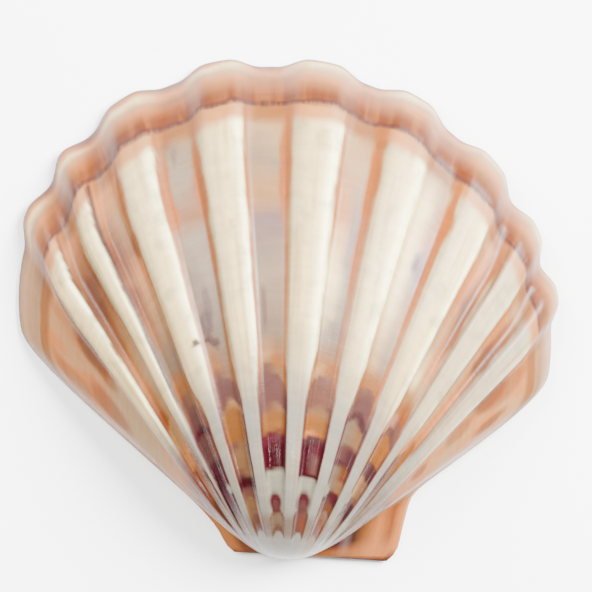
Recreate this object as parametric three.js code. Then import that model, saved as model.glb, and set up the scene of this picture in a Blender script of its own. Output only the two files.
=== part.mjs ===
// Scallop valve: one half of a broad-ribbed scallop shell, grown as a single piece.
// Millimetres, +Z up. The valve rests on its rim with the domed side up. The hinge runs along X,
// with the large ear at +X, and the fan opens towards +Y.
import * as THREE from 'three';

const { sin, cos, atan2, exp, log, hypot, min, max, abs, PI } = Math;
const DEGREE = PI / 180;

// Growth. Every growth line is the same outline, scaled by its growth g and turned about the
// hinge axis, so the shell is a log spiral from the beak (g near 0) to the last main growth line
// (g = 1). Past that line the margin bends down more steeply, until it meets the rim plane.
const COIL_RATE = 1.4; // log growth of the outline per radian of turn
const REST_TURN = 0.11; // turn of the last main growth line above the rim plane, radians
const BEAK_TURN = 1.78; // turn at which the beak stops coiling, radians
const BEAK_EASE = 0.35; // the coil slows down over this much turn before it stops
const MARGIN_RATIO = 1.084; // rim outline over growth-line outline, at the middle of the fan
const MARGIN_SKEW = 0.04; // change of that ratio per radian round the fan
const BEAK_GROWTH = 0.15; // growth by which the beak's round tip has turned into the outline

// Fan outline, as a radius from the hinge against the angle from the middle of the fan.
const FAN_LENGTH = 89.5;
const FAN_SKEW = 9.6;
const FAN_ROUNDING = -31.2;
const FAN_SKEW_ROUNDING = -6.9;
const FAN_SHOULDER = -0.9;
const FAN_SPREAD = 63 * DEGREE; // past this angle from the middle the outline is all flank and ear

// Each side of the fan: the straight flank that runs back to the hinge, and the ear beside it.
const RIGHT_SIDE = { flankAngle: 39 * DEGREE, flankOffset: 5.1, earReach: 20.4, earLean: 0.2 };
const LEFT_SIDE = { flankAngle: 37.8 * DEGREE, flankOffset: 4.7, earReach: 10.6, earLean: 0.84 };
const EAR_ROUNDING = 8 * DEGREE; // the ear's corner at the hinge line is rounded over this angle
const EAR_TRIM = 0.08; // share of the ear's reach that the rounding takes off
const FAN_CORNER = 5.5; // exponent of the round corner between fan and flank
const EAR_CORNER = 14; // exponent of the tight corners at the ears and round the cavity
const HINGE_SETBACK = 1.2; // how far the ears reach behind the hinge axis
const SETBACK_FADE = 14 * DEGREE; // the setback fades out over this much angle
const EAR_EDGE = 1.3; // thickness of the ear along its edge
const EAR_FADE = 34 * DEGREE; // the ear's edge thins to the rim edge over this much angle
const RIM_EDGE = 1.0; // thickness of the rounded rim edge
const RIM_BEVEL = 0.5; // how far the rim edge tucks in below
const RIM_ARCH = 0.5; // share of a rib's rise that the rim's underside follows

// Ribs, from the small-ear side to the large-ear side: middle and width in degrees.
const RIBS = [
  { middle: 133.0, width: 4.2 },
  { middle: 124.7, width: 3.2 },
  { middle: 114.9, width: 6.1 },
  { middle: 102.5, width: 6.1 },
  { middle: 89.5, width: 6.6 },
  { middle: 77.1, width: 6.1 },
  { middle: 64.7, width: 6.3 },
  { middle: 54.6, width: 5.1 },
  { middle: 45.8, width: 4.6 },
];
const RIB_HEIGHT = 1.9; // at the last main growth line
const RIB_CROWN = 0.3; // share of its height that a rib loses from its middle to its foot
const RIB_SLOPE_WIDTH = 2; // degrees that each side of a rib takes to rise
const RIM_SLOPE_WIDTH = 4; // the same at the rim, where the ribs round off
const SLOPE_INSIDE = 0.4; // share of each slope that lies inside the rib's width
const RIM_SQUEEZE = 0.05; // share by which the ribs draw in at the rim, towards one angle
const SQUEEZE_MIDDLE = 84; // that angle, degrees
const RIM_START = 0.88; // growth from which the ribs change towards the rim
const RIM_END = 1.08;
const RIB_START = 0.13; // growth below which the beak is smooth
const RIB_FADE = 0.17; // growth over which the ribs rise to full height

// Underside: a cavity inside a flat band of rim, flanks and hinge plate.
const CAVITY_CENTRE = new THREE.Vector2(0, 45);
const WALL_DEPTH = 2.9; // from the outside in, measured towards the hinge
const WALL_DEPTH_AT_RIM = 2.2;
const FLANK_BAND = 2.6;
const HINGE_PLATE = 4.6; // front edge of the hinge plate, from the hinge axis
const CAVITY_WALL_RUN = 2.2; // width over which the cavity wall rises
const INNER_RIB_HEIGHT = 1.1;

// Mesh steps.
const GROWTH_STEPS = 24;
const MARGIN_STEPS = 4;
const SIDE_STEPS = 15;
const CAVITY_WALL_STEPS = [0.5, 1.1, 2.2];
const CAVITY_ROOF_STEPS = [0.92, 0.8, 0.66, 0.5, 0.34, 0.18];

function smoothstep(low, high, value) {
  const t = min(max((value - low) / (high - low), 0), 1);
  return t * t * (3 - 2 * t);
}

function blend(a, b, amount) {
  return a + (b - a) * amount;
}

function smoothMin(a, b, sharpness) {
  return (a ** -sharpness + b ** -sharpness) ** (-1 / sharpness);
}

function smoothMax(a, b, sharpness) {
  return (a ** sharpness + b ** sharpness) ** (1 / sharpness);
}

function fanRadius(beta) {
  const q = min(max(beta - PI / 2, -FAN_SPREAD), FAN_SPREAD);
  const odd = FAN_SKEW * q + FAN_SKEW_ROUNDING * q ** 3;
  return FAN_LENGTH + odd + FAN_ROUNDING * q ** 2 + FAN_SHOULDER * q ** 4;
}

function sideRadius(angle, side) {
  if (angle > side.flankAngle - 0.001) return Infinity;
  const flank = side.flankOffset / sin(side.flankAngle - angle);
  const ear = side.earReach / (cos(angle) - side.earLean * sin(angle));
  return smoothMax(flank, ear, EAR_CORNER);
}

function rimRadius(beta) {
  const onRight = beta < PI / 2;
  const side = onRight ? sideRadius(beta, RIGHT_SIDE) : sideRadius(PI - beta, LEFT_SIDE);
  if (side === Infinity) return fanRadius(beta);
  const nearCorner = max(1 - min(beta, PI - beta) / EAR_ROUNDING, 0);
  return smoothMin(fanRadius(beta), side, FAN_CORNER) * (1 - EAR_TRIM * nearCorner ** 2);
}

function marginRatio(beta) {
  return MARGIN_RATIO + MARGIN_SKEW * (beta - PI / 2);
}

// The coil's turn, slowed down smoothly so that it never passes the beak's turn.
function easedTurn(turn) {
  const start = BEAK_TURN - BEAK_EASE;
  return turn < start ? turn : BEAK_TURN - BEAK_EASE * exp((start - turn) / BEAK_EASE);
}

// Turn about the hinge axis at growth g: a log spiral, then a steeper bend to the rim plane.
function turnAt(g, beta) {
  if (g <= 1) return easedTurn(REST_TURN - log(max(g, 1e-6)) / COIL_RATE);
  const margin = marginRatio(beta) - 1;
  const bend = (REST_TURN - margin / COIL_RATE) / margin ** 2;
  return REST_TURN - (g - 1) / COIL_RATE - bend * (g - 1) ** 2;
}

// 1 along the hinge line, fading to 0 away from it.
function nearHinge(beta, fade) {
  const angle = min(beta, PI - beta);
  return 1 - smoothstep(0, fade, angle);
}

function smoothOutside(g, beta) {
  const radius = (g * rimRadius(beta)) / marginRatio(beta);
  const reach = radius * sin(beta);
  const turn = turnAt(g, beta);
  const grown = smoothstep(0, BEAK_GROWTH, g);
  const edge = blend(RIM_EDGE, EAR_EDGE, nearHinge(beta, EAR_FADE));
  const setback = HINGE_SETBACK * blend(1, nearHinge(beta, SETBACK_FADE), grown);
  return new THREE.Vector3(
    radius * cos(beta),
    reach * cos(turn) - setback,
    reach * sin(turn) + blend(RIM_EDGE, edge, grown),
  );
}

function outsideNormal(g, beta) {
  const step = 0.002;
  const inside = min(max(beta, step), PI - step);
  const alongGrowth = smoothOutside(g + step, inside).sub(smoothOutside(g - step, inside));
  const alongRim = smoothOutside(g, inside + step).sub(smoothOutside(g, inside - step));
  return alongGrowth.cross(alongRim).normalize();
}

// Rib relief round the fan, 0 in the furrows and 1 on the crests.
function ribProfile(g, beta) {
  const nearRim = smoothstep(RIM_START, RIM_END, g);
  const angle = beta / DEGREE + RIM_SQUEEZE * nearRim * (beta / DEGREE - SQUEEZE_MIDDLE);
  const slope = blend(RIB_SLOPE_WIDTH, RIM_SLOPE_WIDTH, nearRim);
  let height = 0;
  for (const { middle, width } of RIBS) {
    const flat = width / 2 - slope * SLOPE_INSIDE;
    const away = abs(angle - middle);
    const crown = 1 - RIB_CROWN * (away / (flat + slope)) ** 2;
    height += crown * (1 - smoothstep(flat, flat + slope, away));
  }
  return height;
}

function ribLift(g, beta) {
  return RIB_HEIGHT * g * smoothstep(RIB_START, RIB_START + RIB_FADE, g) * ribProfile(g, beta);
}

function outside(g, beta) {
  const lift = ribLift(g, beta);
  const point = smoothOutside(g, beta);
  return lift > 0 ? point.addScaledVector(outsideNormal(g, beta), lift) : point;
}

// Angles round one side, evenly spaced along the rim between two angles.
function evenAngles(from, to, count) {
  const fine = 400;
  const angles = [];
  const lengths = [0];
  for (let i = 0; i <= fine; i += 1) angles.push(blend(from, to, i / fine));
  for (let i = 1; i <= fine; i += 1) {
    const a = rimPoint(angles[i - 1]);
    const b = rimPoint(angles[i]);
    lengths.push(lengths[i - 1] + a.distanceTo(b));
  }
  const picked = [];
  for (let n = 0; n < count; n += 1) {
    const wanted = (lengths[fine] * n) / count;
    const i = lengths.findIndex((length) => length >= wanted);
    picked.push(angles[i]);
  }
  return picked;
}

function rimPoint(beta) {
  const radius = rimRadius(beta);
  return new THREE.Vector2(radius * cos(beta), radius * sin(beta));
}

// Columns of the mesh: even steps down both sides, and the corners of every rib.
function columnAngles() {
  const ordered = [...RIBS].reverse();
  const ribAngles = [];
  ordered.forEach(({ middle, width }, index) => {
    const crest = width / 2 - RIB_SLOPE_WIDTH * SLOPE_INSIDE;
    const foot = crest + RIB_SLOPE_WIDTH;
    ribAngles.push(middle - foot, middle - crest, middle, middle + crest, middle + foot);
    const next = ordered[index + 1];
    if (next) ribAngles.push((middle + width / 2 + next.middle - next.width / 2) / 2);
  });
  const columns = ribAngles.map((angle) => angle * DEGREE);
  const right = evenAngles(0, columns[0], SIDE_STEPS);
  const left = evenAngles(PI, columns[columns.length - 1], SIDE_STEPS).reverse();
  return [...right, ...columns, ...left];
}

// Growth at each row, from the first row above the beak's tip to the rim.
function rowGrowth(row, beta) {
  if (row <= GROWTH_STEPS) return (row / GROWTH_STEPS) ** 1.5;
  return blend(1, marginRatio(beta), (row - GROWTH_STEPS) / MARGIN_STEPS);
}

// Height of the cavity roof above the rim plane. The roof is the outside, moved in towards the
// hinge by the wall depth, and it is found at a place in plan by halving the range of g.
function cavityRoof(x, y) {
  let low = exp(-COIL_RATE * (PI / 2 - REST_TURN));
  let high = MARGIN_RATIO + 0.05;
  for (let i = 0; i < 40; i += 1) {
    const g = (low + high) / 2;
    if (roofReach(g, x, y).spare > 0) high = g;
    else low = g;
  }
  const { radius, beta, turn } = roofReach(low, x, y);
  const roof = radius * sin(beta) * sin(max(turn, 0));
  const ribs = INNER_RIB_HEIGHT * smoothstep(0.45, 1, low) * ribProfile(low, beta);
  return roof + ribs;
}

function roofReach(g, x, y) {
  const guess = atan2(y, x);
  const stretched = y / max(cos(turnAt(g, guess)), 0.001);
  const beta = atan2(stretched, x);
  const depth = blend(WALL_DEPTH, WALL_DEPTH_AT_RIM, smoothstep(0.8, RIM_END, g));
  const radius = (g * fanRadius(beta)) / marginRatio(beta) - depth;
  return { radius, beta, turn: turnAt(g, guess), spare: radius - hypot(x, stretched) };
}

// Distance from the cavity centre to a straight wall, along a direction.
function wallDistance(direction, normal, offset) {
  const facing = normal.dot(direction);
  return facing > 0.01 ? (offset - normal.dot(CAVITY_CENTRE)) / facing : 1e4;
}

// How far the cavity reaches from its centre towards a point of the bottom edge.
function cavityReach(edgePoint) {
  const toEdge = edgePoint.clone().sub(CAVITY_CENTRE);
  const direction = toEdge.clone().normalize();
  const right = new THREE.Vector2(sin(RIGHT_SIDE.flankAngle), -cos(RIGHT_SIDE.flankAngle));
  const left = new THREE.Vector2(-sin(LEFT_SIDE.flankAngle), -cos(LEFT_SIDE.flankAngle));
  const back = new THREE.Vector2(0, -1);
  const reaches = [
    toEdge.length() - WALL_DEPTH_AT_RIM + RIM_BEVEL,
    wallDistance(direction, right, RIGHT_SIDE.flankOffset - FLANK_BAND),
    wallDistance(direction, left, LEFT_SIDE.flankOffset - FLANK_BAND),
    wallDistance(direction, back, -HINGE_PLATE),
  ];
  return reaches.reduce((a, b) => smoothMin(a, b, EAR_CORNER));
}

// Collects vertices and triangles of one closed mesh.
class MeshBuilder {
  constructor() {
    this.positions = [];
    this.indices = [];
  }

  vertex(point) {
    this.positions.push(point.x, point.y, point.z);
    return this.positions.length / 3 - 1;
  }

  triangle(a, b, c) {
    this.indices.push(a, b, c);
  }

  // A strip of quads between two rows of vertices, walked in the same direction.
  strip(lower, upper, closed) {
    const count = closed ? lower.length : lower.length - 1;
    for (let i = 0; i < count; i += 1) {
      const j = (i + 1) % lower.length;
      this.triangle(lower[i], upper[i], upper[j]);
      this.triangle(lower[i], upper[j], lower[j]);
    }
  }

  fan(centre, ring, closed) {
    const count = closed ? ring.length : ring.length - 1;
    for (let i = 0; i < count; i += 1) this.triangle(centre, ring[i], ring[(i + 1) % ring.length]);
  }

  geometry() {
    const geometry = new THREE.BufferGeometry();
    geometry.setAttribute('position', new THREE.Float32BufferAttribute(this.positions, 3));
    geometry.setIndex(this.indices);
    geometry.computeVertexNormals();
    return geometry;
  }
}

// The domed outside, from the tip of the beak to the rim. Returns its open edge, walked round
// the rim and back along the hinge, as vertices and points.
function addOutside(mesh, columns) {
  const tipPoint = smoothOutside(0, PI / 2);
  const tip = { id: mesh.vertex(tipPoint), point: tipPoint, rise: 0 };
  const rows = [];
  for (let row = 1; row <= GROWTH_STEPS + MARGIN_STEPS; row += 1) {
    rows.push(columns.map((beta) => {
      const g = rowGrowth(row, beta);
      const point = outside(g, beta);
      const rise = RIM_ARCH * (point.z - smoothOutside(g, beta).z);
      return { id: mesh.vertex(point), point, rise };
    }));
  }
  const ids = rows.map((row) => row.map((corner) => corner.id));
  mesh.fan(tip.id, ids[0], false);
  for (let row = 1; row < ids.length; row += 1) mesh.strip(ids[row - 1], ids[row], false);
  const rim = rows[rows.length - 1];
  const leftHinge = rows.slice(0, -1).map((row) => row[row.length - 1]).reverse();
  const rightHinge = rows.slice(0, -1).map((row) => row[0]);
  return [...rim, ...leftHinge, tip, ...rightHinge];
}

// The underside: the bevelled edge, the flat band, the cavity wall and the cavity roof.
function addUnderside(mesh, edge) {
  const feet = edge.map(({ point, rise }) => {
    const flat = new THREE.Vector2(point.x, point.y);
    const inward = CAVITY_CENTRE.clone().sub(flat).normalize();
    return { flat: flat.addScaledVector(inward, RIM_BEVEL), rise };
  });
  const reaches = feet.map(({ flat }) => cavityReach(flat));

  const ringAt = (reachOf, heightOf) => feet.map(({ flat, rise }, index) => {
    const direction = flat.clone().sub(CAVITY_CENTRE).normalize();
    const place = CAVITY_CENTRE.clone().addScaledVector(direction, reachOf(index, flat));
    return mesh.vertex(new THREE.Vector3(place.x, place.y, heightOf(place, rise)));
  });
  const edgeIds = edge.map(({ id }) => id);
  const rings = [edgeIds];
  rings.push(ringAt((index, flat) => flat.distanceTo(CAVITY_CENTRE), (place, rise) => rise));
  rings.push(ringAt((index) => reaches[index], (place, rise) => rise));
  for (const step of CAVITY_WALL_STEPS) {
    const rising = smoothstep(0, CAVITY_WALL_RUN, step);
    const height = (place, rise) => blend(rise, cavityRoof(place.x, place.y), rising);
    rings.push(ringAt((index) => reaches[index] - step, height));
  }
  const wallRun = CAVITY_WALL_STEPS[CAVITY_WALL_STEPS.length - 1];
  for (const share of CAVITY_ROOF_STEPS) {
    const height = (place) => cavityRoof(place.x, place.y);
    rings.push(ringAt((index) => (reaches[index] - wallRun) * share, height));
  }
  for (let i = 1; i < rings.length; i += 1) mesh.strip(rings[i - 1], rings[i], true);
  const { x, y } = CAVITY_CENTRE;
  const middle = mesh.vertex(new THREE.Vector3(x, y, cavityRoof(x, y)));
  mesh.fan(middle, [...rings[rings.length - 1]].reverse(), true);
}

function shellGeometry() {
  const mesh = new MeshBuilder();
  const edge = addOutside(mesh, columnAngles());
  addUnderside(mesh, edge);
  return mesh.geometry();
}

function shellMaterial() {
  return new THREE.MeshStandardMaterial({ color: 0xe8cdb8, roughness: 0.3, metalness: 0 });
}

function shellValve() {
  const geometry = shellGeometry();
  geometry.computeBoundingBox();
  const middle = geometry.boundingBox.getCenter(new THREE.Vector3());
  geometry.translate(-middle.x, -middle.y, -geometry.boundingBox.min.z);
  const valve = new THREE.Mesh(geometry, shellMaterial());
  valve.name = 'shell_valve';
  return valve;
}

const group = new THREE.Group();
group.add(shellValve());

export default group;
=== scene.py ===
"""Scallop valve: the fine mesh, its procedural shell material, and the studio round it.

Lengths are metres. The shell is built in its own growth frame, with the hinge axis along X
through the origin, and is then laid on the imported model's box. Growth g runs from 0 at the
beak to 1 at the last main growth line, and a little past 1 to the rim. Beta is the angle round
the fan in radians, from the large ear's side. "Around" is that angle in degrees, but follows
the ribs where they draw in at the rim. The camera sees the small ear on the left and the large
ear on the right.
"""

import math

import bpy
import numpy as np
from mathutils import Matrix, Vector


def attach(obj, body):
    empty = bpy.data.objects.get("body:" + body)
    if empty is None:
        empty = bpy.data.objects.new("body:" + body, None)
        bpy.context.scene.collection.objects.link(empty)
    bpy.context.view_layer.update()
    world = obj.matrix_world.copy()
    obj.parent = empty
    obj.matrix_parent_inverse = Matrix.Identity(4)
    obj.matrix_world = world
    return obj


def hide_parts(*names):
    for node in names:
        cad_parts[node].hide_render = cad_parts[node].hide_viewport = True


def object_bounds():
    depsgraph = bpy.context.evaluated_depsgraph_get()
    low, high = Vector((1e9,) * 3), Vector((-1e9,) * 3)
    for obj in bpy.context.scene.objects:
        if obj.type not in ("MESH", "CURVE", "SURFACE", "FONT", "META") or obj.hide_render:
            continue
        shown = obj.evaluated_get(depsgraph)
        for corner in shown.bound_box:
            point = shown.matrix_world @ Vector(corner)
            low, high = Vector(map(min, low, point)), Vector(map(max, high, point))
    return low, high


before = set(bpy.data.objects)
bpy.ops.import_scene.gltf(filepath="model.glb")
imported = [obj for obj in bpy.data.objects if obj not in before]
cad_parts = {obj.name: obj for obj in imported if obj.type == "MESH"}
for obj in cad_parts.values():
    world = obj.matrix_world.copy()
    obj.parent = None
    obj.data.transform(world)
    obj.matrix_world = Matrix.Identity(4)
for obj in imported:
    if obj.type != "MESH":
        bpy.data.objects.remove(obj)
cad_low, cad_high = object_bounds()

MM = 0.001

# Growth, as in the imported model: a log spiral, then a steeper margin.
COIL_RATE = 1.4
REST_TURN = 0.11
BEAK_TURN = 1.78
BEAK_EASE = 0.35
MARGIN_RATIO = 1.084
MARGIN_SKEW = 0.04
BEAK_GROWTH = 0.15

# Fan outline: radius from the hinge against the angle from the middle of the fan.
FAN_LENGTH = 89.5 * MM
FAN_SKEW = 9.6 * MM
FAN_ROUNDING = -31.2 * MM
FAN_SKEW_ROUNDING = -6.9 * MM
FAN_SHOULDER = -0.9 * MM
FAN_SPREAD = math.radians(63)

# Flank and ear on each side: flank angle, flank offset, ear reach, ear lean. The large ear is on
# the right.
RIGHT_SIDE = (math.radians(39.0), 5.1 * MM, 20.4 * MM, 0.2)
LEFT_SIDE = (math.radians(37.8), 4.7 * MM, 10.6 * MM, 0.84)
EAR_ROUNDING = math.radians(8)
EAR_TRIM = 0.08
FAN_CORNER = 5.5  # sharpness of the corner between fan and flank
EAR_CORNER = 14  # and between flank and ear
HINGE_SETBACK = 1.2 * MM
SETBACK_FADE = 14  # degrees
EAR_EDGE = 1.3 * MM
EAR_FADE = 34  # degrees
FLANK_GAP = 0.001  # radians short of the flank's own direction, where its radius has no end
RIM_EDGE = 1.0 * MM
RIM_BEVEL = 0.5 * MM
RIM_ARCH = 0.5

# Ribs, from the small-ear side to the large-ear side: middle and width in degrees.
RIBS = (
    (133.0, 4.2),
    (124.7, 3.2),
    (114.9, 6.1),
    (102.5, 6.1),
    (89.5, 6.6),
    (77.1, 6.1),
    (64.7, 6.3),
    (54.6, 5.1),
    (45.8, 4.6),
)
RIB_HEIGHT = 1.9 * MM
RIB_CROWN = 0.3
RIB_SLOPE_WIDTH = 2.0  # degrees
RIM_SLOPE_WIDTH = 4.0
SLOPE_INSIDE = 0.4
RIM_SQUEEZE = 0.05
SQUEEZE_MIDDLE = 84  # degrees
RIM_START = 0.88
RIM_END = 1.08
RIB_START = 0.13
RIB_FADE = 0.17
NORMAL_STEP = 0.002  # growth and radians over which the surface's slope is taken

# Underside.
CAVITY_CENTRE = np.array([0.0, 45 * MM])
WALL_DEPTH = 2.9 * MM
WALL_DEPTH_AT_RIM = 2.2 * MM
FLANK_BAND = 2.6 * MM
HINGE_PLATE = 4.6 * MM
CAVITY_WALL_RUN = 2.2 * MM
INNER_RIB_HEIGHT = 1.1 * MM
INNER_RIB_START = 0.45
WALL_THINS_FROM = 0.8
ROOF_SEARCH_STEPS = 40
SEARCH_PAST_RIM = 0.05  # growth
LEAST_COSINE = 0.001
LEAST_FACING = 0.01
NO_WALL = 10.0  # distance that stands for a wall never met

# Mesh steps: columns across the rim, rows by growth, and rings of the underside.
RIM_SAMPLES = 6001
COLUMNS = 410
FINE_FROM = 0.95
YOUNG_ROWS = 146
LINE_ROWS = 18
MARGIN_ROWS = 28
ROW_CROWDING = 1.15  # above 1, rows stand closer near the beak
SIDE_SHARE = 0.35  # how closely columns stand on flanks and ears, against those on the fan
RIGHT_FADE = (29, 35)  # degrees over which the columns pass from the right flank to the fan
LEFT_FADE = (151, 145)
FLAT_RINGS = 4
WALL_RINGS = 10
ROOF_RINGS = 42
RIM_THINNING = 2
HINGE_THINNING = 6


def smoothstep(low, high, value):
    t = np.clip((value - low) / (high - low), 0.0, 1.0)
    return t * t * (3 - 2 * t)


def blend(a, b, amount):
    return a + (b - a) * amount


def smooth_min(a, b, sharpness):
    return (a ** -sharpness + b ** -sharpness) ** (-1 / sharpness)


def smooth_max(a, b, sharpness):
    return (a ** sharpness + b ** sharpness) ** (1 / sharpness)


def fan_radius(beta):
    q = np.clip(beta - math.pi / 2, -FAN_SPREAD, FAN_SPREAD)
    odd = FAN_SKEW * q + FAN_SKEW_ROUNDING * q ** 3
    return FAN_LENGTH + odd + FAN_ROUNDING * q ** 2 + FAN_SHOULDER * q ** 4


def side_radius(angle, side):
    flank_angle, flank_offset, ear_reach, ear_lean = side
    inside = angle < flank_angle - FLANK_GAP
    safe = np.where(inside, angle, 0.0)
    flank = flank_offset / np.sin(flank_angle - safe)
    ear = ear_reach / (np.cos(safe) - ear_lean * np.sin(safe))
    return np.where(inside, smooth_max(flank, ear, EAR_CORNER), 1.0)


def rim_radius(beta):
    right = side_radius(beta, RIGHT_SIDE)
    left = side_radius(math.pi - beta, LEFT_SIDE)
    side = np.where(beta < math.pi / 2, right, left)
    near_corner = np.maximum(1 - np.minimum(beta, math.pi - beta) / EAR_ROUNDING, 0)
    return smooth_min(fan_radius(beta), side, FAN_CORNER) * (1 - EAR_TRIM * near_corner ** 2)


def margin_ratio(beta):
    return MARGIN_RATIO + MARGIN_SKEW * (beta - math.pi / 2)


def turn_at(g, beta):
    turn = REST_TURN - np.log(np.maximum(g, 1e-6)) / COIL_RATE
    start = BEAK_TURN - BEAK_EASE
    eased = BEAK_TURN - BEAK_EASE * np.exp(np.minimum(start - turn, 0) / BEAK_EASE)
    margin = margin_ratio(beta) - 1
    steeper = (REST_TURN - margin / COIL_RATE) / margin ** 2
    past = np.maximum(g - 1, 0)
    bent = REST_TURN - past / COIL_RATE - steeper * past ** 2
    return np.where(g > 1, bent, np.where(turn < start, turn, eased))


def near_hinge(beta, fade_degrees):
    angle = np.degrees(np.minimum(beta, math.pi - beta))
    return 1 - smoothstep(0, fade_degrees, angle)


def smooth_outside(g, beta):
    radius = g * rim_radius(beta) / margin_ratio(beta)
    reach = radius * np.sin(beta)
    turn = turn_at(g, beta)
    grown = smoothstep(0, BEAK_GROWTH, g)
    edge = blend(RIM_EDGE, EAR_EDGE, near_hinge(beta, EAR_FADE))
    setback = HINGE_SETBACK * blend(1, near_hinge(beta, SETBACK_FADE), grown)
    x = radius * np.cos(beta)
    y = reach * np.cos(turn) - setback
    z = reach * np.sin(turn) + blend(RIM_EDGE, edge, grown)
    return np.stack([x, y, z], axis=-1)


def outside_normal(g, beta):
    step = NORMAL_STEP
    inner = np.clip(beta, step, math.pi - step)
    grown = np.maximum(g, 2 * step)
    along_growth = smooth_outside(grown + step, inner) - smooth_outside(grown - step, inner)
    along_rim = smooth_outside(grown, inner + step) - smooth_outside(grown, inner - step)
    normal = np.cross(along_growth, along_rim)
    return normal / np.linalg.norm(normal, axis=-1, keepdims=True)


def rib_angle(g, beta):
    """Angle round the fan in degrees, following the ribs as they draw in at the rim."""
    angle = np.degrees(beta)
    return angle + RIM_SQUEEZE * smoothstep(RIM_START, RIM_END, g) * (angle - SQUEEZE_MIDDLE)


def rib_profile(g, beta):
    angle = rib_angle(g, beta)
    slope = blend(RIB_SLOPE_WIDTH, RIM_SLOPE_WIDTH, smoothstep(RIM_START, RIM_END, g))
    height = np.zeros(np.broadcast(g, beta).shape)
    for middle, width in RIBS:
        flat = width / 2 - slope * SLOPE_INSIDE
        away = np.abs(angle - middle)
        crown = 1 - RIB_CROWN * (away / (flat + slope)) ** 2
        height += crown * (1 - smoothstep(flat, flat + slope, away))
    return height


def rib_lift(g, beta):
    return RIB_HEIGHT * g * smoothstep(RIB_START, RIB_START + RIB_FADE, g) * rib_profile(g, beta)


def outside(g, beta):
    return smooth_outside(g, beta) + outside_normal(g, beta) * rib_lift(g, beta)[..., None]


def roof_reach(g, x, y):
    """Cavity radius, angle and turn at a growth, and how far that radius passes a place in plan."""
    guess = np.arctan2(y, x)
    turn = turn_at(g, guess)
    stretched = y / np.maximum(np.cos(turn), LEAST_COSINE)
    beta = np.arctan2(stretched, x)
    depth = blend(WALL_DEPTH, WALL_DEPTH_AT_RIM, smoothstep(WALL_THINS_FROM, RIM_END, g))
    radius = g * fan_radius(beta) / margin_ratio(beta) - depth
    return radius, beta, turn, radius - np.hypot(x, stretched)


def cavity_roof(x, y):
    """Height of the cavity's roof over a place in plan, with its growth and angle."""
    low = np.full(np.shape(x), math.exp(-COIL_RATE * (math.pi / 2 - REST_TURN)))
    high = np.full(np.shape(x), MARGIN_RATIO + SEARCH_PAST_RIM)
    for _ in range(ROOF_SEARCH_STEPS):
        g = (low + high) / 2
        past = roof_reach(g, x, y)[3] > 0
        high = np.where(past, g, high)
        low = np.where(past, low, g)
    radius, beta, turn, _ = roof_reach(low, x, y)
    roof = radius * np.sin(beta) * np.sin(np.maximum(turn, 0))
    ribs = INNER_RIB_HEIGHT * smoothstep(INNER_RIB_START, 1, low) * rib_profile(low, beta)
    return roof + ribs, low, beta


def wall_distance(direction, normal, offset):
    """Distance from the cavity's centre, along each direction, to a straight wall in plan."""
    facing = direction @ normal
    gap = offset - normal @ CAVITY_CENTRE
    return np.where(facing > LEAST_FACING, gap / np.maximum(facing, LEAST_FACING), NO_WALL)


def cavity_reach(edge_plan):
    """How far the cavity reaches from its centre towards each place on the edge."""
    to_edge = edge_plan - CAVITY_CENTRE
    length = np.linalg.norm(to_edge, axis=1)
    direction = to_edge / length[:, None]
    right = np.array([math.sin(RIGHT_SIDE[0]), -math.cos(RIGHT_SIDE[0])])
    left = np.array([-math.sin(LEFT_SIDE[0]), -math.cos(LEFT_SIDE[0])])
    back = np.array([0.0, -1.0])
    reach = length - WALL_DEPTH_AT_RIM + RIM_BEVEL
    reach = smooth_min(reach, wall_distance(direction, right, RIGHT_SIDE[1] - FLANK_BAND),
                       EAR_CORNER)
    reach = smooth_min(reach, wall_distance(direction, left, LEFT_SIDE[1] - FLANK_BAND),
                       EAR_CORNER)
    return smooth_min(reach, wall_distance(direction, back, -HINGE_PLATE), EAR_CORNER)


def column_angles():
    """Angles round the fan, evenly spaced along the rim but sparser on flanks and ears."""
    fine = np.linspace(0, math.pi, RIM_SAMPLES)
    rim = outside(margin_ratio(fine), fine)
    steps = np.linalg.norm(np.diff(rim, axis=0), axis=1)
    middle = np.degrees(fine[1:] + fine[:-1]) / 2
    on_fan = smoothstep(*RIGHT_FADE, middle) * smoothstep(*LEFT_FADE, middle)
    steps *= blend(SIDE_SHARE, 1, on_fan)
    along_rim = np.concatenate([[0], np.cumsum(steps)])
    return np.interp(np.linspace(0, along_rim[-1], COLUMNS), along_rim, fine)


def row_growth(beta):
    """Growth of every row above the tip, for every column."""
    young = FINE_FROM * (np.arange(1, YOUNG_ROWS + 1) / YOUNG_ROWS) ** ROW_CROWDING
    line = np.linspace(FINE_FROM, 1, LINE_ROWS + 1)[1:]
    young = np.repeat(np.concatenate([young, line])[:, None], len(beta), axis=1)
    share = (np.arange(1, MARGIN_ROWS + 1) / MARGIN_ROWS)[:, None]
    margin = 1 + share * (margin_ratio(beta)[None, :] - 1)
    return np.concatenate([young, margin])


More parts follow.
